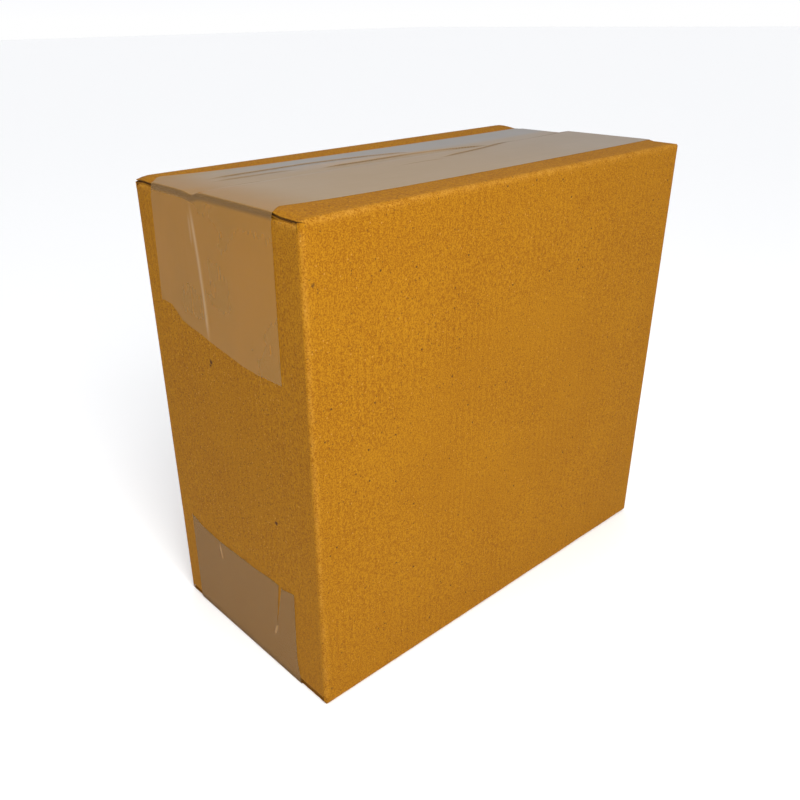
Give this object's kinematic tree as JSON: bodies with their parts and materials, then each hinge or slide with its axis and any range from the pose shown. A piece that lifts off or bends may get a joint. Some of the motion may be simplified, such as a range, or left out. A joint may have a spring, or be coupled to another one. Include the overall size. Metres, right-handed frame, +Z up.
{
  "type": "closed cardboard box",
  "caption": "Small upright shipping carton of folded kraft corrugated board, closed and sealed along the top and bottom seams with wide clear tape.",
  "frame": {"origin": "middle of the carton's footprint, at the underside of the bottom tape that it rests on", "axes": "+X along the long walls and the tape, towards the tape's straight-cut end; +Y towards the rear wall; +Z up"},
  "size_m": [0.2002, 0.098, 0.1826],
  "materials": {
    "kraft_board": "unprinted kraft liner, matte, with fine fibre grain",
    "tape_film": "clear packing tape, hazy and lightly wrinkled, kraft showing through"
  },
  "bodies": {
    "root": {"carton": "kraft_board", "top_tape": "tape_film", "bottom_tape": "tape_film"}
  },
  "joints": []
}
